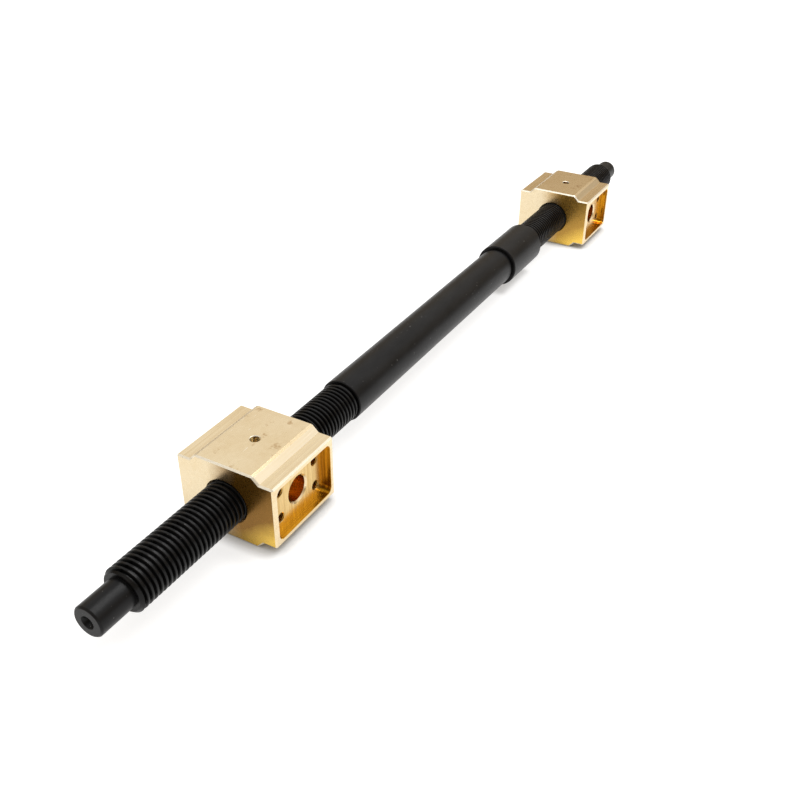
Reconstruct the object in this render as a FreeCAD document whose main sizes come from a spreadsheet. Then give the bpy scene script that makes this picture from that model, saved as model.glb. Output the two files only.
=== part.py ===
import FreeCAD, Part
import math
import os
import Sketcher

# Lead screw with two bronze nut blocks, in millimetres.
# +X runs along the screw from its near end to its far end, +Z is up, and the nut pockets face -Y.
# The origin is on the ground under the middle of the screw, which lies on its two nuts.

# Two lengths closer than this are the same when edges are picked.
ROUNDING = 0.01
# An edge runs along an axis if its direction has at least this share of it.
PARALLEL = 0.99
# A cut that takes off less than this many cubic millimetres has missed the block.
LEAST_CUT = 1.0
FULL_TURN = 360.0
# A drill's point and the cutter that opens a hole's mouth, both as whole angles in degrees.
DRILL_POINT = 118.0
COUNTERSINK = 90.0

# Driving dimensions: name, value
DIMENSIONS = (
    # the turned shaft, from its near end to its far end
    ("near_journal_length", 34.0),
    ("near_thread_length", 295.0),
    ("middle_length", 355.0),
    ("collar_length", 82.0),
    ("far_thread_length", 292.0),
    ("far_journal_length", 35.0),
    ("journal_diameter", 27.5),
    ("thread_diameter", 40.0),
    ("middle_diameter", 43.5),
    ("collar_diameter", 50.5),
    ("journal_chamfer", 1.4),
    ("thread_chamfer", 2.5),
    ("middle_chamfer", 0.8),
    ("collar_chamfer", 1.0),
    ("runout_width", 2.8),
    ("runout_depth", 2.75),
    ("relief_width", 4.5),
    ("relief_depth", 1.2),
    ("centre_mouth_diameter", 12.0),
    ("centre_pilot_diameter", 6.5),
    ("centre_pilot_depth", 15.0),
    ("centre_tip", 2.0),
    # the nut block, whose section is the same along the screw
    ("nut_length", 86.5),
    ("nut_width", 98.0),
    ("nut_height", 73.4),
    ("plateau_width", 58.0),
    ("bevel_width", 6.4),
    ("bevel_drop", 6.2),
    ("edge_break", 1.5),
    ("running_clearance", 0.1),
    ("bore_chamfer", 1.5),
    # the recess in the nut's side and what is bored in its floor
    ("pocket_length", 76.0),
    ("pocket_height", 51.0),
    ("pocket_depth", 8.0),
    ("pocket_corner", 6.0),
    ("register_diameter", 24.0),
    ("register_depth", 14.0),
    ("register_chamfer", 1.5),
    ("bolt_spacing_along", 50.0),
    ("bolt_spacing_up", 26.0),
    ("bolt_diameter", 8.5),
    ("bolt_depth", 16.0),
    ("bolt_mouth_diameter", 9.5),
    # the lubrication hole in the nut's top, and the narrow way from it to the screw
    ("oil_hole_diameter", 9.0),
    ("oil_hole_depth", 10.6),
    ("oil_hole_mouth_diameter", 10.2),
    ("oil_way_diameter", 4.0),
    # where the nuts stand on the screw, measured from its near end
    ("near_nut_start", 154.3),
    ("far_nut_start", 866.8),
)

doc = FreeCAD.newDocument("lead_screw")
sheet = doc.addObject("Spreadsheet::Sheet", "dims")
for row, (name, value) in enumerate(DIMENSIONS, start=1):
    sheet.set(f"A{row}", name)
    sheet.set(f"B{row}", str(value))
    sheet.setAlias(f"B{row}", name)
doc.recompute()

ORIGIN = -1
ACROSS_AXIS = -1
UP_AXIS = -2
START = 1
END = 2
CENTRE = 3
SHAFT_RUNS = ("near_journal", "near_thread", "middle", "collar", "far_thread", "far_journal")
WHOLE_LENGTH = " + ".join(f"dims.{run}_length" for run in SHAFT_RUNS)


def measure(expression):
    """The value of an expression on the sheet."""
    return sheet.evalExpression(expression)


def new_sketch(body, name, plane, depth=None):
    """A sketch on one of the body's own planes, sunk below it by an expression where one is given."""
    sketch = body.newObject("Sketcher::SketchObject", name)
    support = next(item for item in body.Origin.OriginFeatures if item.Role == plane)
    sketch.AttachmentSupport = [(support, "")]
    sketch.MapMode = "FlatFace"
    if depth:
        sketch.setExpression("AttachmentOffset.Base.z", depth)
    return sketch


def pin_point(sketch, label, geometry, point, across, up):
    """Hold a point at two expressions from the sketch's origin, or on an axis where one of them is 0."""
    ways = (("x", "DistanceX", UP_AXIS, across), ("y", "DistanceY", ACROSS_AXIS, up))
    for name, kind, axis, expression in ways:
        if expression == "0":
            sketch.addConstraint(Sketcher.Constraint("PointOnObject", geometry, point, axis))
            continue
        value = measure(expression)
        index = sketch.addConstraint(Sketcher.Constraint(kind, ORIGIN, START, geometry, point, value))
        sketch.renameConstraint(index, f"{label}_{name}")
        sketch.setExpression(f"Constraints.{label}_{name}", expression)


def closed_outline(sketch, corners):
    """Straight edges through corners, each a pair of expressions, joined end to end."""
    places = [FreeCAD.Vector(measure(across), measure(up), 0) for across, up in corners]
    count = len(corners)
    for i in range(count):
        sketch.addGeometry(Part.LineSegment(places[i], places[(i + 1) % count]), False)
    for i in range(count):
        sketch.addConstraint(Sketcher.Constraint("Coincident", i, END, (i + 1) % count, START))
    for i, (across, up) in enumerate(corners):
        pin_point(sketch, f"corner_{i}", i, START, across, up)


def circle(sketch, label, across, up, diameter):
    """A circle held at two expressions, with its diameter bound to a third."""
    centre = FreeCAD.Vector(measure(across), measure(up), 0)
    index = sketch.addGeometry(Part.Circle(centre, FreeCAD.Vector(0, 0, 1), measure(diameter) / 2), False)
    size = sketch.addConstraint(Sketcher.Constraint("Diameter", index, measure(diameter)))
    sketch.renameConstraint(size, f"{label}_size")
    sketch.setExpression(f"Constraints.{label}_size", diameter)
    pin_point(sketch, label, index, CENTRE, across, up)


def turned_shaft():
    """The screw: one bar turned about its own axis, X, with its near end at 0."""
    body = doc.addObject("PartDesign::Body", "screw_shaft")
    body.Label = "screw_shaft"
    profile = new_sketch(body, "turned_profile", "XY_Plane")
    journal = "dims.journal_diameter / 2"
    thread = "dims.thread_diameter / 2"
    middle = "dims.middle_diameter / 2"
    collar = "dims.collar_diameter / 2"
    mouth = "dims.centre_mouth_diameter / 2"
    pilot = "dims.centre_pilot_diameter / 2"
    runout = "dims.thread_diameter / 2 - dims.runout_depth"
    relief = "dims.middle_diameter / 2 - dims.relief_depth"
    thread_start = "dims.near_journal_length"
    middle_start = f"{thread_start} + dims.near_thread_length"
    collar_start = f"{middle_start} + dims.middle_length"
    collar_end = f"{collar_start} + dims.collar_length"
    thread_end = f"{collar_end} + dims.far_thread_length"
    # the centre's cone has an angle of 60 degrees, so its depth is its drop in radius times tan 60
    cone = f"({mouth} - {pilot}) * tan(60 deg)"
    closed_outline(profile, (
        ("dims.centre_pilot_depth + dims.centre_tip", "0"),
        ("dims.centre_pilot_depth", pilot),
        (cone, pilot),
        ("0", mouth),
        ("0", f"{journal} - dims.journal_chamfer"),
        ("dims.journal_chamfer", journal),
        (thread_start, journal),
        (thread_start, f"{thread} - dims.thread_chamfer"),
        (f"{thread_start} + dims.thread_chamfer", thread),
        (f"{middle_start} - dims.runout_width", thread),
        (f"{middle_start} - dims.runout_width", runout),
        (middle_start, runout),
        (middle_start, f"{middle} - dims.middle_chamfer"),
        (f"{middle_start} + dims.middle_chamfer", middle),
        (f"{collar_start} - dims.relief_width", middle),
        (f"{collar_start} - dims.relief_width", relief),
        (collar_start, relief),
        (collar_start, f"{collar} - dims.collar_chamfer"),
        (f"{collar_start} + dims.collar_chamfer", collar),
        (f"{collar_end} - dims.collar_chamfer", collar),
        (collar_end, f"{collar} - dims.collar_chamfer"),
        (collar_end, runout),
        (f"{collar_end} + dims.runout_width", runout),
        (f"{collar_end} + dims.runout_width", thread),
        (f"{thread_end} - dims.thread_chamfer", thread),
        (thread_end, f"{thread} - dims.thread_chamfer"),
        (thread_end, journal),
        (f"{WHOLE_LENGTH} - dims.journal_chamfer", journal),
        (WHOLE_LENGTH, f"{journal} - dims.journal_chamfer"),
        (WHOLE_LENGTH, mouth),
        (f"{WHOLE_LENGTH} - {cone}", pilot),
        (f"{WHOLE_LENGTH} - dims.centre_pilot_depth", pilot),
        (f"{WHOLE_LENGTH} - dims.centre_pilot_depth - dims.centre_tip", "0"),
    ))
    turned = body.newObject("PartDesign::Revolution", "turned_bar")
    turned.Profile = profile
    turned.ReferenceAxis = (profile, ["H_Axis"])
    turned.Angle = FULL_TURN
    body.setExpression("Placement.Base.x", f"-({WHOLE_LENGTH}) / 2")
    body.setExpression("Placement.Base.z", "dims.nut_height / 2")
    return body


def block_section(body):
    """The nut's section across the screw: plateaus above and below, bevelled down to a strip each side."""
    section = new_sketch(body, f"{body.Name}_section", "YZ_Plane")
    shoulder = "(dims.nut_width - dims.plateau_width) / 2"
    foot = f"{shoulder} - dims.bevel_width"
    far_shoulder = f"dims.nut_width - {shoulder}"
    far_foot = f"{far_shoulder} + dims.bevel_width"
    strip = "dims.bevel_drop"
    high_strip = "dims.nut_height - dims.bevel_drop"
    closed_outline(section, (
        (shoulder, "0"),
        (far_shoulder, "0"),
        (far_foot, strip),
        ("dims.nut_width", strip),
        ("dims.nut_width", high_strip),
        (far_foot, high_strip),
        (far_shoulder, "dims.nut_height"),
        (shoulder, "dims.nut_height"),
        (foot, high_strip),
        ("0", high_strip),
        ("0", strip),
        (foot, strip),
    ))
    return section


def cut(body, name, sketch, depth=None):
    """A pocket as deep as an expression, or through the block."""
    whole = body.Tip.Shape.Volume
    pocket = body.newObject("PartDesign::Pocket", f"{body.Name}_{name}")
    pocket.Profile = sketch
    if depth:
        pocket.setExpression("Length", depth)
    else:
        pocket.Type = "ThroughAll"
    point_inward(pocket, whole)


def drill(body, name, sketch, size):
    """Blind holes at the circles of a sketch, with pointed ends and opened mouths."""
    whole = body.Tip.Shape.Volume
    holes = body.newObject("PartDesign::Hole", f"{body.Name}_{name}")
    holes.Profile = sketch
    doc.recompute()
    holes.DepthType = "Dimension"
    holes.DrillPoint = "Angled"
    holes.DrillPointAngle = DRILL_POINT
    holes.HoleCutType = "Countersink"
    holes.HoleCutCountersinkAngle = COUNTERSINK
    holes.setExpression("Diameter", f"dims.{size}_diameter")
    holes.setExpression("Depth", f"dims.{size}_depth")
    holes.setExpression("HoleCutDiameter", f"dims.{size}_mouth_diameter")
    point_inward(holes, whole)


def point_inward(feature, whole):
    """Turn a cut round if it has missed the block, whose volume before it is given."""
    doc.recompute()
    if whole - feature.Shape.Volume < LEAST_CUT:
        feature.Reversed = True
        doc.recompute()


def finish_edges(body, name, kind, size, test):
    """A chamfer or fillet on those edges of the body's last feature that pass the test."""
    base = body.Tip
    names = [f"Edge{i}" for i, edge in enumerate(base.Shape.Edges, start=1) if test(edge)]
    finish = body.newObject(f"PartDesign::{kind}", f"{body.Name}_{name}")
    finish.Base = (base, names)
    finish.setExpression("Radius" if kind == "Fillet" else "Size", size)
    doc.recompute()
    return finish


def direction(edge):
    """The way that an edge sets out."""
    return edge.tangentAt(edge.FirstParameter)


def is_ring(edge, diameter):
    """Whether an edge is a full circle of the diameter that an expression gives."""
    return edge.isClosed() and abs(edge.Length - math.pi * measure(diameter)) < ROUNDING


def outside_corner(edge):
    """Whether an edge of the plain block is an outside corner: those at the foot of a bevel are inside."""
    foot = measure("(dims.nut_width - dims.plateau_width) / 2 - dims.bevel_width")
    middle = edge.CenterOfMass
    inside = abs(min(middle.y, measure("dims.nut_width") - middle.y) - foot) < ROUNDING
    return not (inside and abs(direction(edge).x) > PARALLEL)


def recess_corner(edge):
    """Whether an edge is an upright corner of the recess: it runs straight in, as deep as the recess."""
    depth = measure("dims.pocket_depth")
    return abs(direction(edge).y) > PARALLEL and abs(edge.Length - depth) < ROUNDING


def floor_mouth(edge, diameter):
    """Whether an edge is the mouth of a round hole in the recess floor, and not its bottom."""
    return is_ring(edge, diameter) and edge.CenterOfMass.y < measure("dims.pocket_depth") + ROUNDING


def nut_block(label, start):
    """A bronze nut block with its near lower corner, on the pocket side, at its own origin."""
    body = doc.addObject("PartDesign::Body", label)
    body.Label = label
    middle_along = "dims.nut_length / 2"
    middle_across = "dims.nut_width / 2"
    middle_up = "dims.nut_height / 2"

    # the milled bar, cut off and deburred
    section = block_section(body)
    block = body.newObject("PartDesign::Pad", f"{label}_block")
    block.Profile = section
    block.setExpression("Length", "dims.nut_length")
    doc.recompute()
    finish_edges(body, "deburr", "Chamfer", "dims.edge_break", outside_corner)

    # the bore for the screw, opened at both mouths
    bore = "dims.thread_diameter + dims.running_clearance"
    sketch = new_sketch(body, f"{label}_bore_circle", "YZ_Plane")
    circle(sketch, "bore", middle_across, middle_up, bore)
    cut(body, "bore", sketch)
    finish_edges(body, "bore_mouths", "Chamfer", "dims.bore_chamfer", lambda edge: is_ring(edge, bore))

    # the recess in the side, with the corners that the mill leaves
    low = f"{middle_up} - dims.pocket_height / 2"
    high = f"{middle_up} + dims.pocket_height / 2"
    front = f"{middle_along} - dims.pocket_length / 2"
    back = f"{middle_along} + dims.pocket_length / 2"
    sketch = new_sketch(body, f"{label}_recess_outline", "XZ_Plane")
    closed_outline(sketch, ((front, low), (back, low), (back, high), (front, high)))
    cut(body, "recess", sketch, "dims.pocket_depth")
    finish_edges(body, "recess_corners", "Fillet", "dims.pocket_corner", recess_corner)

    # the register bore in the floor of the recess
    sketch = new_sketch(body, f"{label}_register_circle", "XZ_Plane", "-dims.pocket_depth")
    circle(sketch, "register", middle_along, middle_up, "dims.register_diameter")
    cut(body, "register", sketch, "dims.register_depth")
    finish_edges(body, "register_mouth", "Chamfer", "dims.register_chamfer",
                 lambda edge: floor_mouth(edge, "dims.register_diameter"))

    # four tapped holes around it
    sketch = new_sketch(body, f"{label}_bolt_circles", "XZ_Plane", "-dims.pocket_depth")
    for i, (along, up) in enumerate((("-", "-"), ("+", "-"), ("+", "+"), ("-", "+"))):
        circle(sketch, f"bolt_{i}", f"{middle_along} {along} dims.bolt_spacing_along / 2",
               f"{middle_up} {up} dims.bolt_spacing_up / 2", "dims.bolt_diameter")
    drill(body, "bolt_holes", sketch, "bolt")

    # the lubrication hole in the middle of the top, and a narrow way from it down to the screw
    sketch = new_sketch(body, f"{label}_oil_way_circle", "XY_Plane", "dims.nut_height")
    circle(sketch, "oil_way", middle_along, middle_across, "dims.oil_way_diameter")
    cut(body, "oil_way", sketch, "dims.nut_height / 2")
    sketch = new_sketch(body, f"{label}_oil_hole_circle", "XY_Plane", "dims.nut_height")
    circle(sketch, "oil_hole", middle_along, middle_across, "dims.oil_hole_diameter")
    drill(body, "oil_hole", sketch, "oil_hole")

    body.setExpression("Placement.Base.x", f"{start} - ({WHOLE_LENGTH}) / 2")
    body.setExpression("Placement.Base.y", "-dims.nut_width / 2")
    return body


pieces = [
    turned_shaft(),
    nut_block("near_nut", "dims.near_nut_start"),
    nut_block("far_nut", "dims.far_nut_start"),
]
doc.recompute()

failed = [item.Name for item in doc.Objects if "Invalid" in item.State or "Error" in item.State]
if failed:
    raise RuntimeError(f"objects that failed: {failed}")
for piece in pieces:
    if piece.Shape.isNull() or not piece.Shape.isValid():
        raise RuntimeError(f"bad shape: {piece.Label}")

os.makedirs("parts", exist_ok=True)
for piece in pieces:
    piece.Shape.exportStep(f"parts/{piece.Label}.step")
    box = piece.Shape.BoundBox
    size = f"{box.XLength:.2f} x {box.YLength:.2f} x {box.ZLength:.2f}"
    print(f"{piece.Label}: {size}, {piece.Shape.Volume:.0f} mm3")
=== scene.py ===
# %% [markdown]
# A lead screw with two bronze nut blocks
#
# The real object is a black steel bar, turned in a lathe, with a trapezoidal thread cut along each end.
# A bronze block, milled square and bored, runs on each thread. The solids of the bar and the blocks are
# loaded first. They give the places and the outer sizes, and everything below is made to fit them. The
# scene is in metres, and the sizes of the drawing are in millimetres.

# %% Load the frame
import math

import bmesh
import bpy
from mathutils import Matrix, Vector


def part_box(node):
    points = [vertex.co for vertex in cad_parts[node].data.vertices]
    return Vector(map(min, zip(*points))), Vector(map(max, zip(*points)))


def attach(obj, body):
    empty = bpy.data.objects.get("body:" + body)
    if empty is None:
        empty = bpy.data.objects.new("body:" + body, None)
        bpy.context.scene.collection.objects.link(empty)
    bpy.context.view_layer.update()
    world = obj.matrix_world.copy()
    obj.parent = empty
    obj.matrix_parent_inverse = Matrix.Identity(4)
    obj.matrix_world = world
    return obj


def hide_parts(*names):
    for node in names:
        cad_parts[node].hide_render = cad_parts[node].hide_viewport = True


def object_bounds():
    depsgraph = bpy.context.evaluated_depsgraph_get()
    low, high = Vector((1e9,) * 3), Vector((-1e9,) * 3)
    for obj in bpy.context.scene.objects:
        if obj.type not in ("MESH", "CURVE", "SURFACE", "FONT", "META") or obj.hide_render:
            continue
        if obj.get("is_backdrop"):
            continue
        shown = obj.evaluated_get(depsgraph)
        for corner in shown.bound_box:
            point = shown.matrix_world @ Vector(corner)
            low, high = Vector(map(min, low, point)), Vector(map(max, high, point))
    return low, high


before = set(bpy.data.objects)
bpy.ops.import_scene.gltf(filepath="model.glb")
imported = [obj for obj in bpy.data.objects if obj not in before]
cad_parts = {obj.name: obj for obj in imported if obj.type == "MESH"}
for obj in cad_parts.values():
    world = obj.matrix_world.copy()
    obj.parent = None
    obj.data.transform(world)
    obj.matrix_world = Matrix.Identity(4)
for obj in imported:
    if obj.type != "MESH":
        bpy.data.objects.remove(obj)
cad_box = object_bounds()

# %% Sizes from the frame
MM = 0.001


def drawing_size(metres):
    """A length of the frame as a drawing size, in millimetres to the nearest micron."""
    return round(metres / MM, ndigits=3)


near_low, near_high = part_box("near_nut")
far_low, far_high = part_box("far_nut")
BAR_END = drawing_size(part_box("screw_shaft")[1].x)
NUT_LENGTH = drawing_size(near_high.x - near_low.x)
NEAR_NUT_MIDDLE = drawing_size((near_low.x + near_high.x) / 2.0)
FAR_NUT_MIDDLE = drawing_size((far_low.x + far_high.x) / 2.0)
HALF_WIDTH = drawing_size(near_high.y)
NUT_HEIGHT = drawing_size(near_high.z)
AXIS_HEIGHT = NUT_HEIGHT / 2.0
print("bar to", BAR_END, "nuts at", NEAR_NUT_MIDDLE, "and", FAR_NUT_MIDDLE, "axis at", AXIS_HEIGHT)

# %% [markdown]
# The camera
#
# The photograph looks along the screw from above its near end. Where the camera stood was found by lining
# up the edges of the solids with the picture, which gives a place, two angles, a small tilt and a lens.
# Setting the direction with a tracking quaternion keeps the picture upright, and the tilt is turned on
# afterwards about the camera's own axis.

# %% Set the camera
CAMERA_PLACE = Vector((-0.84095, -0.41425, 0.52485))
CAMERA_HEADING = math.radians(29.29)
CAMERA_DIP = math.radians(33.07)
CAMERA_TILT = math.radians(0.6055)
LENS = 41.88
SENSOR = 36.0

looking = Vector((math.cos(CAMERA_DIP) * math.cos(CAMERA_HEADING),
                  math.cos(CAMERA_DIP) * math.sin(CAMERA_HEADING),
                  -math.sin(CAMERA_DIP)))
camera = bpy.data.objects.new("camera", bpy.data.cameras.new("camera"))
camera.data.lens = LENS
camera.data.sensor_width = SENSOR
turned_to = looking.to_track_quat("-Z", "Y").to_matrix() @ Matrix.Rotation(CAMERA_TILT, 3, "Z")
camera.matrix_world = Matrix.Translation(CAMERA_PLACE) @ turned_to.to_4x4()
bpy.context.scene.collection.objects.link(camera)
bpy.context.scene.camera = camera
bpy.context.scene.view_settings.view_transform = "Standard"
print("camera looks along", [round(v, 3) for v in looking])

# %% [markdown]
# Turning a shape, and cutting with it
#
# A lathe part is a line of points, each a distance along the bar and a radius, spun once about the bar's
# axis. One helper spins such a line into a closed shape. Another sweeps a groove's section along a helix,
# which is the same spin with a small step along the axis for each turn. A third breaks edges with a bevel,
# and a fourth takes shapes away from a piece with Boolean modifiers, as a tool takes metal away.

# %% Helpers for turned shapes
FULL_TURN = 2.0 * math.pi
MERGE = 0.0005 * MM


def points_among(geometry):
    """The vertices in what an operator made."""
    return [part for part in geometry if isinstance(part, bmesh.types.BMVert)]


def turned(points, steps):
    """Spins (along, radius) points once about X and returns the closed mesh."""
    bm = bmesh.new()
    chain = [bm.verts.new((along * MM, 0.0, radius * MM)) for along, radius in points]
    line = [bm.edges.new(pair) for pair in zip(chain, chain[1:])]
    bmesh.ops.spin(bm, geom=chain + line, cent=(0, 0, 0), axis=(1, 0, 0), angle=FULL_TURN,
                   steps=steps, use_merge=True)
    bmesh.ops.remove_doubles(bm, verts=bm.verts, dist=MERGE)
    bmesh.ops.recalc_face_normals(bm, faces=bm.faces)
    return bm


def helical(section, pitch, turns, steps, hand):
    """Sweeps a closed (along, radius) section along a helix about X; hand is 1 for a right-hand thread."""
    bm = bmesh.new()
    ring = [bm.verts.new((along * MM, 0.0, radius * MM)) for along, radius in section]
    loop = [bm.edges.new(pair) for pair in zip(ring, ring[1:] + ring[:1])]
    bmesh.ops.spin(bm, geom=ring + loop, cent=(0, 0, 0), axis=(hand, 0, 0), angle=FULL_TURN,
                   dvec=(pitch * MM / steps, 0, 0), steps=steps, use_merge=False)
    one_turn = bm.verts[:] + bm.edges[:] + bm.faces[:]
    for number in range(1, turns):
        copied = bmesh.ops.duplicate(bm, geom=one_turn)["geom"]
        bmesh.ops.translate(bm, verts=points_among(copied), vec=(number * pitch * MM, 0.0, 0.0))
    bmesh.ops.remove_doubles(bm, verts=bm.verts, dist=MERGE)
    bmesh.ops.holes_fill(bm, edges=[edge for edge in bm.edges if edge.is_boundary])
    bmesh.ops.recalc_face_normals(bm, faces=bm.faces)
    return bm


# %% Helpers for edges and cuts


def bevelled(bm, edges, width, segments):
    """Bevels the edges by a width in mm and returns the faces that this makes."""
    made = bmesh.ops.bevel(bm, geom=edges, offset=width * MM, offset_type="OFFSET", affect="EDGES",
                           segments=segments, profile=0.5, material=-1, clamp_overlap=True)
    bm.normal_update()
    return made["faces"]


def as_object(name, bm, materials=()):
    """Puts a mesh into the scene as an object of its own."""
    mesh = bpy.data.meshes.new(name)
    bm.to_mesh(mesh)
    bm.free()
    for material in materials:
        mesh.materials.append(material)
    made = bpy.data.objects.new(name, mesh)
    bpy.context.scene.collection.objects.link(made)
    return made


def carve(piece, cutters):
    """Takes the cutters away from the piece and keeps the result as the piece's own mesh."""
    for cutter in cutters:
        cut = piece.modifiers.new(cutter.name, "BOOLEAN")
        cut.operation = "DIFFERENCE"
        cut.solver = "MANIFOLD"
        cut.object = cutter
    evaluated = piece.evaluated_get(bpy.context.evaluated_depsgraph_get())
    carved = bpy.data.meshes.new_from_object(evaluated)
    piece.modifiers.clear()
    piece.data = carved
    for cutter in cutters:
        bpy.data.objects.remove(cutter)


def report(step, piece):
    """Prints how many faces a piece has after a step, and how many of its edges don't have two faces."""
    bm = bmesh.new()
    bm.from_mesh(piece.data)
    open_edges = sum(1 for edge in bm.edges if len(edge.link_faces) != 2)
    bm.free()
    print(step + ":", len(piece.data.polygons), "faces,", open_edges, "open edges")


# %% [markdown]
# Helpers for the finishes
#
# Every finish here is a Principled shader with noise behind it. A painted image would need a file and an
# unwrapped mesh, and noise needs neither. It is read from Object coordinates, which are metres on the part
# itself, and stretched by a Mapping node where the real mark has a direction, as a cutter's lines have.

# %% Helpers for noise
# Nearly all of a noise lies between these two values.
NOISE_LIMITS = (0.3, 0.7)


def new_finish(name):
    """A fresh material, its node tree and its Principled shader."""
    material = bpy.data.materials.new(name)
    material.use_nodes = True
    tree = material.node_tree
    return material, tree, tree.nodes["Principled BSDF"]


def stretched(tree, scale):
    """Object coordinates multiplied by a scale for each axis."""
    place = tree.nodes.new("ShaderNodeTexCoord")
    mapping = tree.nodes.new("ShaderNodeMapping")
    mapping.inputs["Scale"].default_value = scale
    tree.links.new(place.outputs["Object"], mapping.inputs["Vector"])
    return mapping.outputs["Vector"]


def noise(tree, waves, detail, rough=0.55):
    """A noise value from 0 to 1 with so many waves to the metre along each axis."""
    texture = tree.nodes.new("ShaderNodeTexNoise")
    texture.inputs["Scale"].default_value = 1.0
    texture.inputs["Detail"].default_value = detail
    texture.inputs["Roughness"].default_value = rough
    tree.links.new(stretched(tree, waves), texture.inputs["Vector"])
    return texture.outputs["Fac"]


def spread(tree, value, low, high, to_low, to_high):
    """Maps a value from one range to another and holds it at the ends."""
    node = tree.nodes.new("ShaderNodeMapRange")
    for label, number in (("From Min", low), ("From Max", high), ("To Min", to_low), ("To Max", to_high)):
        node.inputs[label].default_value = number
    tree.links.new(value, node.inputs["Value"])
    return node.outputs["Result"]


# %% Helpers for colour and relief
# A Mix node has sockets of the same names for each kind of data. These are the numbers of its colours.
MIXED_COLOURS = (6, 7)
MIX_RESULT = 2


def blended(tree, factor, first, second):
    """Mixes two colours, each a plain colour or another node's output."""
    node = tree.nodes.new("ShaderNodeMix")
    node.data_type = "RGBA"
    tree.links.new(factor, node.inputs["Factor"])
    for number, colour in zip(MIXED_COLOURS, (first, second)):
        if isinstance(colour, tuple):
            node.inputs[number].default_value = (*colour, 1.0)
        else:
            tree.links.new(colour, node.inputs[number])
    return node.outputs[MIX_RESULT]


def combined(tree, operation, first, second):
    """Joins two values with one operation; the second may be a plain number."""
    node = tree.nodes.new("ShaderNodeMath")
    node.operation = operation
    tree.links.new(first, node.inputs[0])
    if isinstance(second, float):
        node.inputs[1].default_value = second
    else:
        tree.links.new(second, node.inputs[1])
    return node.outputs[0]


def bumped(tree, height, depth):
    """A bump of the given depth in metres."""
    node = tree.nodes.new("ShaderNodeBump")
    node.inputs["Strength"].default_value = 1.0
    node.inputs["Distance"].default_value = depth
    tree.links.new(height, node.inputs["Height"])
    return node.outputs["Normal"]


# %% [markdown]
# Black oxide on the steel
#
# The bar is blackened: a thin dark skin that is satin where the tool left it smooth and keeps the fine
# rings of the lathe. A metal shader would mirror too much, so this is a dark dielectric with a modest gloss.
# The rings are noise that changes fast along the bar and not at all round it. Small pale flecks stand for
# the nicks that a bar of this length gets in handling. The threads shine a little more than the turned
# lengths, as the bright lines along their crests show, so one function makes two finishes.

# %% Black oxide
OXIDE_DARK = (0.0035, 0.0035, 0.0038)
OXIDE_WORN = (0.010, 0.010, 0.0105)
OXIDE_NICK = (0.16, 0.155, 0.15)
OXIDE_GLOSS = 0.17
WORN_WAVES = (26.0, 60.0, 60.0)
WORN_LIMITS = (0.35, 0.70)
NICK_WAVES = (420.0, 420.0, 420.0)
NICK_LIMITS = (0.765, 0.80)
RING_WAVES = (1400.0, 6.0, 6.0)
RING_DEPTH = 0.012
GRAIN_WAVES = (900.0, 900.0, 900.0)
GRAIN_SHARE = 0.5
TURNED_ROUGHNESS = (0.32, 0.42)
THREAD_ROUGHNESS = (0.25, 0.33)


def black_oxide(name, roughness):
    """Blackened steel; roughness is its (least, most)."""
    material, tree, shader = new_finish(name)
    cloud = spread(tree, noise(tree, WORN_WAVES, detail=4.0), *WORN_LIMITS, 0.0, 1.0)
    nick = spread(tree, noise(tree, NICK_WAVES, detail=1.0), *NICK_LIMITS, 0.0, 1.0)
    rings = noise(tree, RING_WAVES, detail=2.0)
    grain = noise(tree, GRAIN_WAVES, detail=2.0)
    worn = blended(tree, cloud, OXIDE_DARK, OXIDE_WORN)
    tree.links.new(blended(tree, nick, worn, OXIDE_NICK), shader.inputs["Base Color"])
    tree.links.new(spread(tree, grain, *NOISE_LIMITS, *roughness), shader.inputs["Roughness"])
    height = combined(tree, "ADD", rings, combined(tree, "MULTIPLY", grain, GRAIN_SHARE))
    tree.links.new(bumped(tree, height, RING_DEPTH * MM), shader.inputs["Normal"])
    shader.inputs["Specular IOR Level"].default_value = OXIDE_GLOSS
    return material


steel_finishes = [black_oxide("turned_oxide", TURNED_ROUGHNESS),
                  black_oxide("thread_oxide", THREAD_ROUGHNESS)]
TURNED, THREAD = range(len(steel_finishes))
print("finishes:", [material.name for material in steel_finishes])

# %% [markdown]
# The bar
#
# Seen from the near end, the bar has a journal with a lathe centre in its face, a thread, a plain middle,
# a narrow relief groove, a collar, the second thread and a second journal. Stacked cylinders would leave
# seams between them, so one line of points gives all of it. Where a thread meets a shoulder there is a
# run-out groove, so that the threading tool can leave the metal. The corners are broken with a narrow bevel,
# because a real edge is never perfectly sharp and the bevel is what catches the light.

# %% The ends of the bar
JOURNAL_RADIUS = 13.75
JOURNAL_CHAMFER = 1.4
CENTRE_ANGLE = math.radians(60.0)
CENTRE_MOUTH = 6.0
CENTRE_PILOT = 3.25
CENTRE_DEPTH = 15.0
CENTRE_TIP = 2.0
THREAD_RADIUS = 20.0
THREAD_CHAMFER = 2.5


def bar_end(inward):
    """The lathe centre and the chamfered end face; inward is 1 at the near end and -1 at the far one."""
    face = -inward * BAR_END
    cone = (CENTRE_MOUTH - CENTRE_PILOT) / math.tan(CENTRE_ANGLE / 2.0)
    return [(face + inward * (CENTRE_DEPTH + CENTRE_TIP), 0.0),
            (face + inward * CENTRE_DEPTH, CENTRE_PILOT),
            (face + inward * cone, CENTRE_PILOT),
            (face, CENTRE_MOUTH),
            (face, JOURNAL_RADIUS - JOURNAL_CHAMFER),
            (face + inward * JOURNAL_CHAMFER, JOURNAL_RADIUS)]


def thread_end(shoulder, inward):
    """The step up from a journal to a thread, with the thread's lead-in chamfer."""
    return [(shoulder, JOURNAL_RADIUS),
            (shoulder, THREAD_RADIUS - THREAD_CHAMFER),
            (shoulder + inward * THREAD_CHAMFER, THREAD_RADIUS)]


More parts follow.
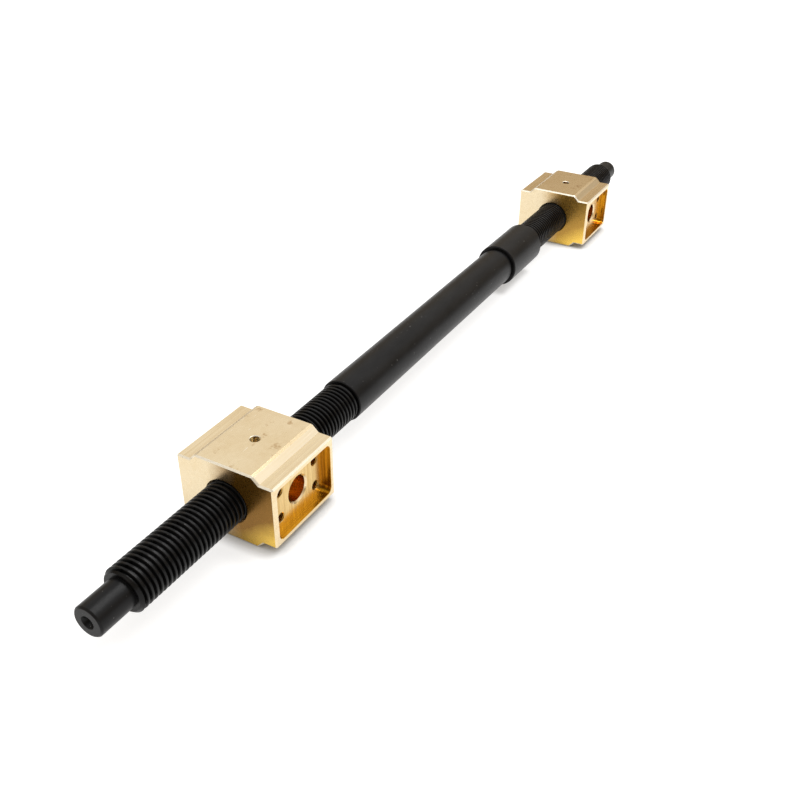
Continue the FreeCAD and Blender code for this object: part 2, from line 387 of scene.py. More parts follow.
# %% The turned profile
NEAR_SHOULDER = -512.5
FAR_SHOULDER = 511.5
ROOT_RADIUS = 17.25
RUNOUT = 2.8
MIDDLE_START = -217.5
MIDDLE_RADIUS = 21.75
MIDDLE_CHAMFER = 0.8
RELIEF_RADIUS = 20.55
RELIEF_WIDTH = 4.5
COLLAR_START = 137.5
COLLAR_END = 219.5
COLLAR_RADIUS = 25.25
COLLAR_CHAMFER = 1.0

near_half = bar_end(1) + thread_end(NEAR_SHOULDER, 1) + [
    (MIDDLE_START - RUNOUT, THREAD_RADIUS),
    (MIDDLE_START - RUNOUT, ROOT_RADIUS),
    (MIDDLE_START, ROOT_RADIUS),
    (MIDDLE_START, MIDDLE_RADIUS - MIDDLE_CHAMFER),
    (MIDDLE_START + MIDDLE_CHAMFER, MIDDLE_RADIUS),
    (COLLAR_START - RELIEF_WIDTH, MIDDLE_RADIUS),
    (COLLAR_START - RELIEF_WIDTH, RELIEF_RADIUS),
    (COLLAR_START, RELIEF_RADIUS)]
far_half = bar_end(-1) + thread_end(FAR_SHOULDER, -1) + [
    (COLLAR_END + RUNOUT, THREAD_RADIUS),
    (COLLAR_END + RUNOUT, ROOT_RADIUS),
    (COLLAR_END, ROOT_RADIUS),
    (COLLAR_END, COLLAR_RADIUS - COLLAR_CHAMFER),
    (COLLAR_END - COLLAR_CHAMFER, COLLAR_RADIUS),
    (COLLAR_START + COLLAR_CHAMFER, COLLAR_RADIUS),
    (COLLAR_START, COLLAR_RADIUS - COLLAR_CHAMFER)]
profile = near_half + far_half[::-1]
print("profile:", len(profile), "points")

# %% Spin the bar
BAR_STEPS = 64
BAR_CORNER = math.radians(25.0)
CORNER_BREAK = 0.22
CORNER_STEPS = 2

bar = turned(profile, BAR_STEPS)
corners = [edge for edge in bar.edges if edge.calc_face_angle(0.0) > BAR_CORNER]
bevelled(bar, corners, CORNER_BREAK, CORNER_STEPS)
lead_screw = as_object("lead_screw", bar, steel_finishes)
report("bar", lead_screw)

# %% [markdown]
# The threads
#
# The thread is trapezoidal: flat crests, flat roots and flanks that lean fifteen degrees each way. A tool of
# the groove's own section, carried along the bar five millimetres for each turn, leaves just this, so the
# groove is cut in the same way here. The section's two upper corners are rounded in two short steps, which
# takes the sharp edge off the crests. The near thread is right-handed. The far one is left-handed, so that
# the two nuts move against each other as the screw turns.

# %% Cut the threads
PITCH = 5.0
ROOT_WIDTH = 1.53
GROOVE_FLOOR = 17.3
FLANK_TOP = 19.45
FLANK_LEAN = math.tan(math.radians(15.0))
ROUND_STEPS = ((0.16, 0.35), (0.46, 0.53))
CLEAR_RADIUS = 20.7
TOOL_STOP = 2.1


def groove_section(start):
    """The thread groove's section, centred at start along the bar."""
    half = ROOT_WIDTH / 2.0
    top = half + (FLANK_TOP - GROOVE_FLOOR) * FLANK_LEAN
    side = [(half, GROOVE_FLOOR), (top, FLANK_TOP)]
    side += [(top + out, FLANK_TOP + up) for out, up in ROUND_STEPS]
    side += [(top + ROUND_STEPS[-1][0], CLEAR_RADIUS)]
    return [(start + x, r) for x, r in side] + [(start - x, r) for x, r in reversed(side)]


near_turns = math.ceil((MIDDLE_START - NEAR_SHOULDER) / PITCH) + 1
near_begin = MIDDLE_START - TOOL_STOP - near_turns * PITCH
far_turns = math.ceil((FAR_SHOULDER - COLLAR_END) / PITCH) + 1
far_begin = COLLAR_END + TOOL_STOP
grooves = [as_object("near_groove", helical(groove_section(near_begin), PITCH, near_turns, BAR_STEPS, 1)),
           as_object("far_groove", helical(groove_section(far_begin), PITCH, far_turns, BAR_STEPS, -1))]
carve(lead_screw, grooves)
report(f"{near_turns} and {far_turns} turns of thread", lead_screw)

# %% [markdown]
# Shading the bar
#
# The bar was made on its own axis, and is lifted here to the height at which the nuts carry it. Smooth
# shading makes the sixty-four flats round it one curve. It would also bend the light on the broad faces
# beside each narrow broken edge, so a Weighted Normal modifier lets the broad faces decide.

# %% Finish the bar
BAR_SHARP = math.radians(40.0)

for face in lead_screw.data.polygons:
    along = face.center.x / MM
    in_thread = NEAR_SHOULDER < along < MIDDLE_START or COLLAR_END < along < FAR_SHOULDER
    face.material_index = THREAD if in_thread else TURNED
lead_screw.data.transform(Matrix.Translation((0.0, 0.0, AXIS_HEIGHT * MM)))
lead_screw.data.shade_smooth()
lead_screw.data.set_sharp_from_angle(angle=BAR_SHARP)
lead_screw.modifiers.new("even_shading", "WEIGHTED_NORMAL").keep_sharp = True
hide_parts("screw_shaft")
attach(lead_screw, "screw")
lead_screw.data.calc_loop_triangles()
print("lead screw:", len(lead_screw.data.loop_triangles), "triangles")

# %% [markdown]
# Bronze, as it was milled
#
# The blocks are a pale bronze, and each kind of face was finished in its own way. The lands are lapped:
# smooth, a little cloudy, with small brown stains and a few scratches from handling. The strips, slopes and
# sides keep the cutter's fine lines. The slopes are painted a little paler and the broken edges palest of
# all, as painted highlights. The recess and the holes are painted in a deep colour, as painted shade and the
# colour of the light that bounces inside them, deepest at the recess's two ends, with the lines of its walls
# running the way the cutter went. One function makes all of these: the colours, the direction and strength
# of the lines, and the gloss differ.

# %% Bronze finish
BRONZE = (0.82, 0.68, 0.45)
BRONZE_SHADE = (0.70, 0.53, 0.29)
END_BRONZE = (0.76, 0.64, 0.435)
# Pale bronze for the scratches, and a painted highlight on the broken edges that catch the light.
SCRATCH_AND_EDGE_HIGHLIGHT = (1.0, 0.95, 0.82)
# A paler copy of the bronze for the slopes: a painted highlight.
SLOPE_HIGHLIGHT_BRONZE = (0.85, 0.77, 0.60)
# The pocket floor, walls, ends and holes are painted darker and more saturated: painted shade, and the
# colour of the light that bounces inside them, darkest on the recess's two end walls.
SHADED_CUT_BRONZE = (0.76, 0.56, 0.25)
CUT_SHADE = (0.50, 0.31, 0.09)
SHADED_RECESS_BRONZE = (0.90, 0.55, 0.055)
RECESS_SHADE = (0.44, 0.21, 0.018)
SHADED_SIDE_BRONZE = (0.76, 0.40, 0.03)
SIDE_SHADE = (0.30, 0.13, 0.010)
SHADED_BORE_BRONZE = (0.74, 0.39, 0.07)
LINES_ALONG_X = (7.0, 620.0, 620.0)
LINES_ALONG_Z = (420.0, 420.0, 9.0)
NO_LINES = (240.0, 240.0, 240.0)
LINE_LIMITS = (0.35, 0.68)
CLOUD_WAVES = (30.0, 30.0, 30.0)
CLOUD_LIMITS = (0.38, 0.68)


def milled_bronze(name, colours, lines, line_share, cloud_share, roughness, depth):
    """Bronze with cutter lines; roughness is its (least, most) and depth the lines' depth in mm."""
    material, tree, shader = new_finish(name)
    streak = noise(tree, lines, detail=4.0)
    cloud = spread(tree, noise(tree, CLOUD_WAVES, detail=4.0), *CLOUD_LIMITS, 0.0, cloud_share)
    tone = combined(tree, "ADD", spread(tree, streak, *LINE_LIMITS, 0.0, line_share), cloud)
    tree.links.new(blended(tree, tone, *colours), shader.inputs["Base Color"])
    tree.links.new(spread(tree, streak, *NOISE_LIMITS, *roughness), shader.inputs["Roughness"])
    tree.links.new(bumped(tree, streak, depth * MM), shader.inputs["Normal"])
    shader.inputs["Metallic"].default_value = 1.0
    return material


# %% [markdown]
# Stains, scratches and a painted reflection
#
# What use leaves on the bronze lies over the milled finish, so each mark is one more colour mixed in by a
# mask. Stains are the few peaks of a soft noise. Scratches are the peaks of a noise drawn out into lines.
# A painted reflection is laid over the pocket side of each end face in the same way: painted dark by the
# bore, where the face mirrors the black screw and the shade under it, and amber towards the foot, where it
# mirrors the floor. It dulls the mirror a little, and its dark is lighter on the far nut than on the near
# one.

# %% Stains and scratches
STAIN = (0.40, 0.22, 0.07)
SCRATCH_WAVES = (60.0, 520.0, 60.0)
SCRATCH_LIMITS = (0.70, 0.74)
SCRATCH_STRENGTH = 0.5


def laid_over(material, mask, colour):
    """Puts one more colour, plain or from another node, over a finish wherever the mask is 1."""
    tree = material.node_tree
    socket = tree.nodes["Principled BSDF"].inputs["Base Color"]
    below = socket.links[0].from_socket
    tree.links.new(blended(tree, mask, below, colour), socket)


def stained(material, waves, limits, strength):
    """Brown handling stains: noise squeezed to a few small patches."""
    tree = material.node_tree
    patch = noise(tree, (waves, waves, waves), detail=5.0, rough=0.65)
    laid_over(material, spread(tree, patch, *limits, 0.0, strength), STAIN)


def scratched(material):
    """Fine pale scratches: noise drawn out into lines, only its peaks kept."""
    tree = material.node_tree
    scratch = noise(tree, SCRATCH_WAVES, detail=2.0)
    laid_over(material, spread(tree, scratch, *SCRATCH_LIMITS, 0.0, SCRATCH_STRENGTH), SCRATCH_AND_EDGE_HIGHLIGHT)


# %% Painted reflection
# Painted reflections: amber for the mirrored floor, dark for the mirrored screw and its shade, lighter on
# the far nut.
AMBER_PAINTED_REFLECTION = (0.98, 0.64, 0.11)
DARK_PAINTED_REFLECTION = (0.31, 0.15, 0.022)
FAR_DARK_PAINTED_REFLECTION = (0.55, 0.31, 0.06)
# Where the painted reflection begins and where it is full, in metres, as the shader reads them.
REFLECTION_EDGE = (0.026, -0.004)
REFLECTION_WAVES = (45.0, 45.0, 45.0)
REFLECTION_WAVER = 0.016
REFLECTION_SLANT = 0.6
REFLECTION_FOOT = (-0.010, 0.011)
REFLECTION_METALLIC = 0.78
BETWEEN_NUTS = (-0.1, 0.1)


def painted_reflection(material):
    """A painted reflection beside the bore on the pocket side: dark near it, amber towards the foot's
    corner.
    """
    tree = material.node_tree
    split = tree.nodes.new("ShaderNodeSeparateXYZ")
    tree.links.new(stretched(tree, (1.0, 1.0, 1.0)), split.inputs["Vector"])
    drift = combined(tree, "MULTIPLY", noise(tree, REFLECTION_WAVES, detail=3.0), REFLECTION_WAVER)
    across = combined(tree, "ADD", split.outputs["Y"], drift)
    slanting = combined(tree, "ADD", split.outputs["Z"], combined(tree, "MULTIPLY", across, REFLECTION_SLANT))
    on_far_nut = spread(tree, split.outputs["X"], *BETWEEN_NUTS, 0.0, 1.0)
    beside_bore = blended(tree, on_far_nut, DARK_PAINTED_REFLECTION, FAR_DARK_PAINTED_REFLECTION)
    reflection_colour = blended(tree, spread(tree, slanting, *REFLECTION_FOOT, 0.0, 1.0), AMBER_PAINTED_REFLECTION, beside_bore)
    mask = spread(tree, across, *REFLECTION_EDGE, 0.0, 1.0)
    laid_over(material, mask, reflection_colour)
    mirror = spread(tree, mask, 0.0, 1.0, 1.0, REFLECTION_METALLIC)
    tree.links.new(mirror, tree.nodes["Principled BSDF"].inputs["Metallic"])


# %% All the bronze finishes
plain_pair = (BRONZE, BRONZE_SHADE)
end_pair = (END_BRONZE, BRONZE_SHADE)
edge_highlight_pair = (SCRATCH_AND_EDGE_HIGHLIGHT, BRONZE)
slope_pair = (SLOPE_HIGHLIGHT_BRONZE, BRONZE)
cut_pair = (SHADED_CUT_BRONZE, CUT_SHADE)
recess_pair = (SHADED_RECESS_BRONZE, RECESS_SHADE)
side_pair = (SHADED_SIDE_BRONZE, SIDE_SHADE)
bore_pair = (SHADED_BORE_BRONZE, RECESS_SHADE)

# Name, colours, lines, the lines' share of the shade, the clouds' share, roughness, depth of the lines.
nut_finishes = [
    milled_bronze("milled_bronze", plain_pair, LINES_ALONG_X, 0.45, 0.25, (0.20, 0.34), 0.003),
    milled_bronze("lapped_land", plain_pair, NO_LINES, 0.10, 0.35, (0.24, 0.28), 0.0004),
    milled_bronze("faced_end", end_pair, NO_LINES, 0.15, 0.30, (0.25, 0.32), 0.001),
    milled_bronze("slope_highlight", slope_pair, LINES_ALONG_X, 0.45, 0.20, (0.26, 0.36), 0.002),
    milled_bronze("broken_edge_highlight", edge_highlight_pair, LINES_ALONG_X, 0.20, 0.10, (0.46, 0.56), 0.002),
    milled_bronze("pocket_floor", cut_pair, LINES_ALONG_Z, 0.60, 0.30, (0.18, 0.32), 0.004),
    milled_bronze("pocket_wall", recess_pair, LINES_ALONG_X, 0.75, 0.20, (0.18, 0.34), 0.006),
    milled_bronze("pocket_side", side_pair, LINES_ALONG_Z, 0.85, 0.20, (0.18, 0.34), 0.006),
    milled_bronze("drilled_bore", bore_pair, LINES_ALONG_Z, 0.45, 0.30, (0.20, 0.34), 0.006)]
FACE, LAND, END, SLOPE, EDGE, POCKET_FLOOR, POCKET_WALL, POCKET_SIDE, BORE = range(len(nut_finishes))

# Finish, waves to the metre, where in the noise a stain begins and where it is full, strength.
stains = [(LAND, 85.0, (0.58, 0.70), 0.65),
          (FACE, 60.0, (0.64, 0.78), 0.35),
          (END, 70.0, (0.64, 0.76), 0.45),
          (POCKET_FLOOR, 85.0, (0.62, 0.74), 0.70)]
for finish, waves, limits, strength in stains:
    stained(nut_finishes[finish], waves, limits, strength)
scratched(nut_finishes[LAND])
# The end faces get a painted reflection of the screw and the floor on their pocket side.
painted_reflection(nut_finishes[END])
print("finishes:", [material.name for material in nut_finishes])

# %% [markdown]
# The nut block's outside
#
# The block is one bar of bronze with a raised land along its top and its underside. A land has a slope on
# each side down to a lower strip. Boxes and wedges could be pieced together, but the block is a
# twelve-cornered section drawn out along the screw, so it starts as one face and is extruded. The faces are
# sorted by the way they point, so that each gets the finish of its own kind. Then the outside edges are
# broken with a bevel. Those round the ends and along the sides get the palest finish, a painted highlight,
# and the upright ones and those along the lands keep the plain one.

# %% The block's section
LAND_HALF = 29.0
SLOPE_RUN = 6.4
LAND_STEP = 6.2
NUT_CORNER = math.radians(20.0)
# Shares of a unit normal: past the first a face points along an axis, past the second it leans that way.
FACING = 0.9
LEANING = 0.3


def half_section(height, step):
    """Six corners of the block's section, from its pocket side across, at the given height."""
    foot = LAND_HALF + SLOPE_RUN
    right = [(-HALF_WIDTH, height - step), (-foot, height - step), (-LAND_HALF, height)]
    return right + [(-across, up) for across, up in reversed(right)]


def outside_corner(edge):
    """True for an edge that sticks out; the two feet of each land's slopes are inside corners."""
    return edge.is_convex and edge.calc_face_angle(0.0) > NUT_CORNER


def kind_of(face):
    """Which finish a face of the block gets, from the way it points."""
    if abs(face.normal.x) > FACING:
        return END
    if LEANING < abs(face.normal.z) < FACING:
        return SLOPE
    on_land = abs(face.calc_center_median().y) < LAND_HALF / 2.0 * MM
    return LAND if on_land else FACE


def kind_of_edge(face):
    """Which finish a broken edge of the block gets; the pale one is a painted highlight."""
    beside_land = abs(face.normal.y) > LEANING and abs(face.normal.z) > FACING
    upright = abs(face.normal.z) < LEANING
    return FACE if beside_land or upright else EDGE


# %% Extrude the section
EDGE_BREAK = 1.5


def block():
    """The solid block, centred on the screw's middle and standing on the ground, with its edges broken."""
    bm = bmesh.new()
    section = half_section(NUT_HEIGHT, LAND_STEP) + half_section(0.0, -LAND_STEP)[::-1]
    start = -NUT_LENGTH / 2.0 * MM
    face = bm.faces.new([bm.verts.new((start, across * MM, up * MM)) for across, up in section])
    drawn = bmesh.ops.extrude_face_region(bm, geom=[face], use_keep_orig=True)["geom"]
    bmesh.ops.translate(bm, verts=points_among(drawn), vec=(NUT_LENGTH * MM, 0.0, 0.0))
    bmesh.ops.recalc_face_normals(bm, faces=bm.faces)
    for face in bm.faces:
        face.material_index = kind_of(face)
    outside = [edge for edge in bm.edges if outside_corner(edge)]
    for broken in bevelled(bm, outside, EDGE_BREAK, segments=1):
        broken.material_index = kind_of_edge(broken)
    return bm


near_nut = as_object("near_nut_block", block(), nut_finishes)
report("block", near_nut)

# %% [markdown]
# The recess
#
# One side of each block has a shallow recess with rounded corners, as an end mill leaves them, and a broken
# lip. Inset and extrude would make a recess too, but its corners would then share edges with the block's own
# faces. A cutter of the recess's shape, taken away with a Boolean, leaves those faces whole. The cutter
# starts as a cube. Its four corners are rounded with a bevel, and its mouth is drawn out into a flare, which
# leaves the broken lip. The faces of a cutter carry the finishes that its cuts get.

# %% Mill the recess
POCKET_LENGTH = 76.0
POCKET_HEIGHT = 51.0
POCKET_DEPTH = 8.0
POCKET_CORNER = 6.0
POCKET_CORNER_STEPS = 8
LIP = 0.35
# How far a cutter stands out of the face that it cuts.
BEYOND = 1.0


def kind_of_cut(face):
    """Which finish the recess gets from a face of its cutter."""
    if face.normal.y > FACING:
        return POCKET_FLOOR
    if -FACING < face.normal.y < -LEANING:
        return FACE
    return POCKET_WALL if abs(face.normal.z) > abs(face.normal.x) else POCKET_SIDE


def pocket_cutter():
    """A block with four rounded corners and a flared rim, which leaves the pocket with a broken lip."""
    bm = bmesh.new()
    bmesh.ops.create_cube(bm, size=1.0)
    inside = POCKET_DEPTH - LIP
    bmesh.ops.scale(bm, verts=bm.verts, vec=(POCKET_LENGTH * MM, inside * MM, POCKET_HEIGHT * MM))
    inward = [edge for edge in bm.edges if abs(edge.verts[0].co.y - edge.verts[1].co.y) > MERGE]
    bevelled(bm, inward, POCKET_CORNER, POCKET_CORNER_STEPS)
    mouth = [face for face in bm.faces if face.normal.y < -FACING]
    drawn = bmesh.ops.extrude_face_region(bm, geom=mouth)["geom"]
    bmesh.ops.delete(bm, geom=mouth, context="FACES_ONLY")
    rim = points_among(drawn)
    flare = 2.0 * (LIP + BEYOND)
    bmesh.ops.translate(bm, verts=rim, vec=(0.0, -flare / 2.0 * MM, 0.0))
    bmesh.ops.scale(bm, verts=rim, vec=(1.0 + flare / POCKET_LENGTH, 1.0, 1.0 + flare / POCKET_HEIGHT))
    bmesh.ops.recalc_face_normals(bm, faces=bm.faces)
    for face in bm.faces:
        face.material_index = kind_of_cut(face)
    centre = (0.0, (-HALF_WIDTH + LIP + inside / 2.0) * MM, AXIS_HEIGHT * MM)
    bmesh.ops.translate(bm, verts=bm.verts, vec=centre)
    return as_object("pocket_cutter", bm, nut_finishes)


carve(near_nut, [pocket_cutter()])
report("recess", near_nut)

# %% [markdown]
# The holes
#
# In the floor of the recess are a large register bore and four tapped holes round it. A tapped hole for oil
# goes down from the top, with a narrow way on to the screw, and the screw's own bore goes through from end
# to end. A ring of edges could be inset for each, but a hole is the shape of the tool that made it, so each
# tool is made and taken away. A drill is a line of points spun round its axis, with its point and the
# countersink at its mouth, and a tap is a small helical groove.

# %% Bore the register
REGISTER_RADIUS = 12.0
REGISTER_DEPTH = 14.0
REGISTER_CHAMFER = 1.5
INTO_POCKET = Matrix.Rotation(math.radians(90.0), 4, "Z")
# The axial share of the normal on a countersink: more than on a drilled wall, less than on a tap's flank.
SINK_LEAN = (0.3, 0.8)
RECESS_Y = -HALF_WIDTH + POCKET_DEPTH


def hole_cutter(name, bm, turn, place, finishes):
    """Turns a cutter from +X into a hole's direction and sets it at the mouth; finishes are (wall, rim)."""
    wall, rim = finishes
    for face in bm.faces:
        leans = SINK_LEAN[0] < abs(face.normal.x) < SINK_LEAN[1]
        at_mouth = face.calc_center_median().x < REGISTER_CHAMFER * MM
        face.material_index = rim if leans and at_mouth else wall
    bmesh.ops.transform(bm, matrix=Matrix.Translation(Vector(place) * MM) @ turn, verts=bm.verts)
    return as_object(name, bm, nut_finishes)


register = turned([(-BEYOND, 0.0),
                   (-BEYOND, REGISTER_RADIUS + REGISTER_CHAMFER + BEYOND),
                   (REGISTER_CHAMFER, REGISTER_RADIUS),
                   (REGISTER_DEPTH, REGISTER_RADIUS),
                   (REGISTER_DEPTH, 0.0)], BAR_STEPS)
place = (0.0, RECESS_Y, AXIS_HEIGHT)
carve(near_nut, [hole_cutter("register", register, INTO_POCKET, place, (BORE, FACE))])
report("register", near_nut)

# %% Drills and taps
HOLE_STEPS = 40
POINT_SLOPE = 1.0 / math.tan(math.radians(59.0))
TAP_RADIUS = 5.0
TAP_LEAN = math.tan(math.radians(30.0))
TAP_FLAT = 0.06
TAP_OVERLAP = 0.1
TAP_SHORT = 2.0


def drill(radius, mouth, depth):
    """A drill's shape with a countersink at its mouth, its point and a little air above the surface."""
    sink = mouth - radius
    return [(-BEYOND, 0.0), (-BEYOND, mouth + BEYOND), (sink, radius), (depth, radius),
            (depth + radius * POINT_SLOPE, 0.0)]


def tap(radius, pitch, depth):
    """A tap's shape: a groove of sixty degrees that stops a few turns short of the drilled depth."""
    start = radius - TAP_OVERLAP
    outer = pitch * TAP_FLAT
    inner = outer + (TAP_RADIUS - start) * TAP_LEAN
    section = [(-inner, start), (inner, start), (outer, TAP_RADIUS), (-outer, TAP_RADIUS)]
    turns = int((depth - TAP_SHORT * pitch) / pitch) + 1
    return helical([(along - pitch, out) for along, out in section], pitch, turns, HOLE_STEPS // 2, 1)


def tapped_hole(name, radius, mouth, depth, pitch, turn, place, finishes):
    """The two cutters of a tapped hole, its drill and its tap."""
    drilled = turned(drill(radius, mouth, depth), HOLE_STEPS)
    threaded = tap(radius, pitch, depth)
    return [hole_cutter(name + "_drill", drilled, turn, place, finishes),
            hole_cutter(name + "_tap", threaded, turn, place, finishes)]


# %% Drill and tap the bolt holes
BOLT_SPAN = 50.0
BOLT_RISE = 26.0
BOLT_DRILL = 4.25
BOLT_MOUTH = 4.75
BOLT_DEPTH = 16.0
BOLT_PITCH = 1.5

bolt_cutters = []
for side in (-1, 1):
    for level in (-1, 1):
        place = (side * BOLT_SPAN / 2.0, RECESS_Y, AXIS_HEIGHT + level * BOLT_RISE / 2.0)
        bolt_cutters += tapped_hole("bolt", BOLT_DRILL, BOLT_MOUTH, BOLT_DEPTH, BOLT_PITCH,
                                    INTO_POCKET, place, (BORE, POCKET_FLOOR))
carve(near_nut, bolt_cutters)
report("bolt holes", near_nut)

# %% Drill the oil hole and bore for the screw
OIL_DRILL = 4.5
OIL_MOUTH = 5.1
OIL_DEPTH = 10.6
OIL_PITCH = 1.0
OIL_WAY = 2.0
BORE_RADIUS = 20.05
BORE_CHAMFER = 1.5
INTO_TOP = Matrix.Rotation(math.radians(90.0), 4, "Y")
INTO_END = Matrix.Identity(4)

top = (0.0, 0.0, NUT_HEIGHT)
oil_cutters = tapped_hole("oil", OIL_DRILL, OIL_MOUTH, OIL_DEPTH, OIL_PITCH,
                          INTO_TOP, top, (POCKET_FLOOR, EDGE))
way_start = OIL_DEPTH - BEYOND
way_end = AXIS_HEIGHT - BORE_RADIUS + BEYOND
way = turned([(way_start, 0.0), (way_start, OIL_WAY), (way_end, OIL_WAY), (way_end, 0.0)], HOLE_STEPS // 2)
oil_cutters.append(hole_cutter("oil_way", way, INTO_TOP, top, (BORE, POCKET_FLOOR)))
mouth = [(-BEYOND, 0.0), (-BEYOND, BORE_RADIUS + BORE_CHAMFER + BEYOND), (BORE_CHAMFER, BORE_RADIUS)]
bore = turned(mouth + [(NUT_LENGTH - along, radius) for along, radius in reversed(mouth)], BAR_STEPS)
near_end = (-NUT_LENGTH / 2.0, 0.0, AXIS_HEIGHT)
carve(near_nut, oil_cutters + [hole_cutter("screw_bore", bore, INTO_END, near_end, (BORE, END))])
report("nut", near_nut)

# %% [markdown]
# Two nuts
#
# The two blocks are alike, so the second is a copy of the first, moved along the screw. Each mesh is moved
# to its own place and each object stays at the origin, because the finishes read the place on the part, and
# the stains then fall differently on the two. The holes are shaded smooth. Every edge of the block's own
# faces counts as sharp, even the gentlest, because a milled face is flat right up to its edge.

# %% Place the nuts
NUT_SHARP = math.radians(16.0)

far_nut = bpy.data.objects.new("far_nut_block", near_nut.data.copy())
bpy.context.scene.collection.objects.link(far_nut)
nuts = ((near_nut, NEAR_NUT_MIDDLE, "near_nut"), (far_nut, FAR_NUT_MIDDLE, "far_nut"))
for piece, middle, body in nuts:
    piece.data.transform(Matrix.Translation((middle * MM, 0.0, 0.0)))
    piece.data.shade_smooth()
    piece.data.set_sharp_from_angle(angle=NUT_SHARP)
    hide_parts(body)
    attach(piece, body)
    print(piece.name, "from", [round(v, 4) for v in piece.bound_box[0]])

# %% [markdown]
# The floor
#
# The photograph is a shop picture on white, so bright that only the shadows right beside the part are left
# on the ground. The floor is a plain pale sheet that keeps the lamps' shadow. Extra white is added for rays
# from the camera and from mirror-like surfaces only, so the ground reads as white without any more light on
# the part. An Ambient Occlusion node takes that white away again close to where the part touches.

# %% Floor
FLOOR_HALF = 9.0
FLOOR_DROP = 0.05
FLOOR_WHITE = (0.56, 0.56, 0.56)
FLOOR_ROUGHNESS = 0.9
FLOOR_LIFT = 0.72
CONTACT_REACH = 0.014
CONTACT_DEPTH = 2.0
WHITE = (1.0, 1.0, 1.0)


def floor_paper():
    """Pale paper that the camera and mirror-like surfaces see as white, with a painted contact shadow near
    the part.
    """
    material, tree, shader = new_finish("floor_paper")
    shader.inputs["Base Color"].default_value = (*FLOOR_WHITE, 1.0)
    shader.inputs["Roughness"].default_value = FLOOR_ROUGHNESS
    shader.inputs["Specular IOR Level"].default_value = 0.0
    shader.inputs["Emission Color"].default_value = (*WHITE, 1.0)
    rays = tree.nodes.new("ShaderNodeLightPath")
    seen = combined(tree, "ADD", rays.outputs["Is Camera Ray"], rays.outputs["Is Glossy Ray"])
    seen = combined(tree, "ADD", seen, rays.outputs["Is Transmission Ray"])
    # A painted contact shadow: the added white fades out close to where the part touches.
    contact_shadow = tree.nodes.new("ShaderNodeAmbientOcclusion")
    contact_shadow.inputs["Distance"].default_value = CONTACT_REACH
    seen = combined(tree, "MULTIPLY", seen, combined(tree, "POWER", contact_shadow.outputs["AO"], CONTACT_DEPTH))
    tree.links.new(combined(tree, "MULTIPLY", seen, FLOOR_LIFT), shader.inputs["Emission Strength"])
    return material


sheet = bmesh.new()
bmesh.ops.create_grid(sheet, x_segments=1, y_segments=1, size=FLOOR_HALF)
bmesh.ops.translate(sheet, verts=sheet.verts, vec=(0.0, 0.0, -FLOOR_DROP * MM))
floor = as_object("floor", sheet, [floor_paper()])
floor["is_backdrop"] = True
print("floor:", 2.0 * FLOOR_HALF, "m square")

# %% [markdown]
# The room
#
# Polished metal shows the room more than its own colour, so the room is a gradient by height: dim and warm
# near the ground, a bright band at half height, a little dimmer above. It is dark where the camera stands,
# as the photographer's side of a studio is. The camera itself sees a white backdrop in place of the room,
# and mirror-like surfaces see that backdrop too, low down where it stands behind the part. A picture of a
# real studio would do the same work, but a few colours are easier to set.

# %% Room
ROOM_LOW = (0.30, 0.27, 0.22)
ROOM_WARM = (0.56, 0.39, 0.19)
ROOM_BAND = (1.15, 1.15, 1.15)
ROOM_TOP = (0.72, 0.72, 0.72)
ROOM_STOPS = ((0.12, ROOM_LOW), (0.38, ROOM_WARM), (0.58, ROOM_BAND), (0.92, ROOM_TOP))
ROOM_DARK = (0.06, 0.06, 0.06)
DARK_EDGE = (math.cos(math.radians(24.0)), math.cos(math.radians(11.0)))
BACKDROP_TOP = (math.sin(math.radians(1.0)), math.sin(math.radians(4.0)))


def by_height(tree, height):
    """The room's colour at a height, from 0 at the horizon to 1 overhead."""
    ramp = tree.nodes.new("ShaderNodeValToRGB")
    stops = ramp.color_ramp.elements
    for position, colour in ROOM_STOPS:
        stops.new(position).color = (*colour, 1.0)
    stops.remove(stops[-1])
    stops.remove(stops[0])
    tree.links.new(height, ramp.inputs["Fac"])
    return ramp.outputs["Color"]


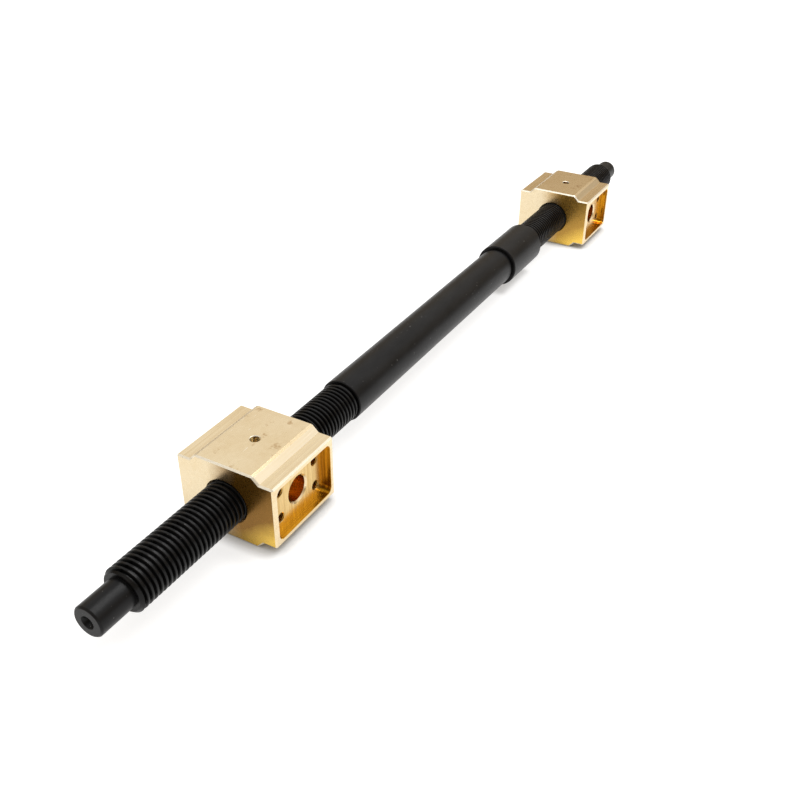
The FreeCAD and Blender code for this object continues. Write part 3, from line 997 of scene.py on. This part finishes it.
def room():
    """The world: a gradient by height, dark behind the camera, with a white backdrop."""
    world = bpy.data.worlds.new("room")
    world.use_nodes = True
    tree = world.node_tree
    place = tree.nodes.new("ShaderNodeTexCoord")
    split = tree.nodes.new("ShaderNodeSeparateXYZ")
    tree.links.new(place.outputs["Generated"], split.inputs["Vector"])
    facing = tree.nodes.new("ShaderNodeVectorMath")
    facing.operation = "DOT_PRODUCT"
    facing.inputs[1].default_value = (CAMERA_PLACE - Vector((NEAR_NUT_MIDDLE * MM, 0.0, 0.0))).normalized()
    tree.links.new(place.outputs["Generated"], facing.inputs[0])
    behind_camera = spread(tree, facing.outputs["Value"], *DARK_EDGE, 0.0, 1.0)
    lit = blended(tree, behind_camera, by_height(tree, split.outputs["Z"]), ROOM_DARK)
    rays = tree.nodes.new("ShaderNodeLightPath")
    mirrored = combined(tree, "ADD", rays.outputs["Is Glossy Ray"], rays.outputs["Is Transmission Ray"])
    low_down = spread(tree, split.outputs["Z"], *BACKDROP_TOP, 1.0, 0.0)
    mirrored = combined(tree, "MULTIPLY", mirrored, low_down)
    seen = combined(tree, "ADD", rays.outputs["Is Camera Ray"], mirrored)
    tree.links.new(blended(tree, seen, lit, WHITE), tree.nodes["Background"].inputs["Color"])
    return world


bpy.context.scene.world = room()
print("room:", len(ROOM_STOPS), "colours by height")

# %% [markdown]
# The lamps
#
# A long lamp overhead draws the bright line along the crests of the thread, and a large soft one at the side
# lights the slopes of the near nut. Spot lamps would draw hard shadows, which the photograph doesn't have,
# so both are area lamps.

# %% Lamps
OVERHEAD_PLACE = Vector((0.24, -0.38, 1.60))
OVERHEAD_SIZE = (0.35, 1.2)
OVERHEAD_POWER = 13.0
SIDE_PLACE = Vector((0.86, -1.25, 1.10))
SIDE_SIZE = (1.6, 1.2)
SIDE_POWER = 1.55


def soft_lamp(name, place, size, power, aim):
    """A rectangular lamp at a place, facing an aim."""
    data = bpy.data.lights.new(name, "AREA")
    data.shape = "RECTANGLE"
    data.size, data.size_y = size
    data.energy = power
    lamp = bpy.data.objects.new(name, data)
    facing = (aim - place).to_track_quat("-Z", "Y").to_matrix().to_4x4()
    lamp.matrix_world = Matrix.Translation(place) @ facing
    bpy.context.scene.collection.objects.link(lamp)


ground_below = Vector((OVERHEAD_PLACE.x, OVERHEAD_PLACE.y, 0.0))
near_nut_top = Vector((NEAR_NUT_MIDDLE * MM, 0.0, NUT_HEIGHT * MM))
soft_lamp("overhead", OVERHEAD_PLACE, OVERHEAD_SIZE, OVERHEAD_POWER, ground_below)
soft_lamp("side", SIDE_PLACE, SIDE_SIZE, SIDE_POWER, near_nut_top)

# %% [markdown]
# Sizes, and done
#
# Both boxes, the solids' own and the dressed model's, are printed so that they can be compared. The
# dressed model has to stay inside the solids' own box.

# %% Print the boxes
boxes = {"cad": cad_box, "visual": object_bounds()}
for label, (low, high) in boxes.items():
    print(label, [round(b - a, 5) for a, b in zip(low, high)])
